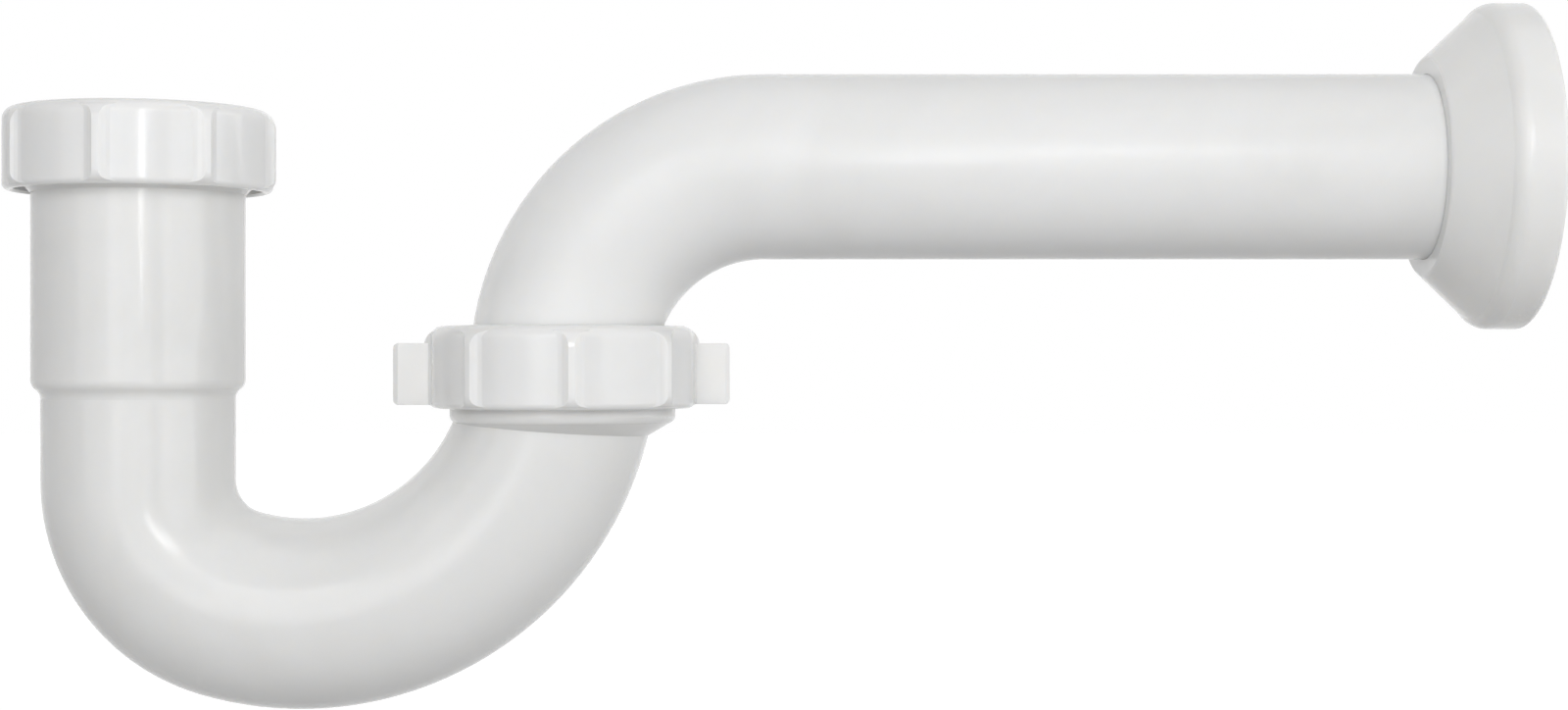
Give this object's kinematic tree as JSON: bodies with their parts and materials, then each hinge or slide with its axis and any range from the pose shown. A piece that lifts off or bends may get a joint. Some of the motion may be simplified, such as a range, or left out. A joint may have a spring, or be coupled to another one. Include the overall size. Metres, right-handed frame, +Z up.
{
  "type": "wall outlet trap",
  "caption": "White plastic tubular P-trap for a basin, with a slip nut at the inlet, a winged union nut and a wall flange on the outlet pipe.",
  "frame": {"origin": "on the inlet's axis, where the inlet socket's parallel bore starts below its sloped mouth", "axes": "+Z up along the inlet's axis and out of the socket; +X along the outlet pipe towards the wall; the pipes lie in the XZ plane at rest"},
  "size_m": [0.2634, 0.0562, 0.1219],
  "materials": {
    "white_plastic": "satin",
    "ivory_plastic": "matte",
    "dark_rubber": "matte"
  },
  "bodies": {
    "bend": {"j_bend": "white_plastic", "cone_washer": "dark_rubber"},
    "inlet_ring": {"slip_ring": "ivory_plastic"},
    "inlet_nut": {"inlet_nut": "white_plastic"},
    "union_seal": {"union_washer": "dark_rubber"},
    "union_nut": {"union_nut": "white_plastic"},
    "neck": {"swan_neck": "white_plastic"},
    "flange": {"wall_flange": "white_plastic"}
  },
  "joints": [
    {"name": "inlet_ring_slide", "type": "slide", "parent": "bend", "child": "inlet_ring", "axis": [0, 0, 1], "range_m": [0, 0.0078]},
    {"name": "inlet_nut_spin", "type": "hinge", "parent": "inlet_ring", "child": "inlet_nut", "pos_m": [0, 0, 0], "axis": [0, 0, 1], "range_deg": [0, 1217]},
    {"name": "union_lift", "type": "slide", "parent": "bend", "child": "union_seal", "axis": [0, 0, 1], "range_m": [0, 0.0074]},
    {"name": "union_nut_spin", "type": "hinge", "parent": "union_seal", "child": "union_nut", "pos_m": [0.07351, 0, -0.0355], "axis": [0, 0, 1], "range_deg": [0, 1155]},
    {"name": "outlet_swivel", "type": "hinge", "parent": "union_seal", "child": "neck", "pos_m": [0.07351, 0, -0.0355], "axis": [0, 0, 1], "range_deg": [-130, 130]},
    {"name": "flange_slide", "type": "slide", "parent": "neck", "child": "flange", "axis": [1, 0, 0], "range_m": [-0.11, 0]}
  ],
  "couplings": [
    {"joint": "inlet_nut_spin", "follows": "inlet_ring_slide", "rad_per_m": 2721.2},
    {"joint": "union_nut_spin", "follows": "union_lift", "rad_per_m": 2721.2}
  ]
}
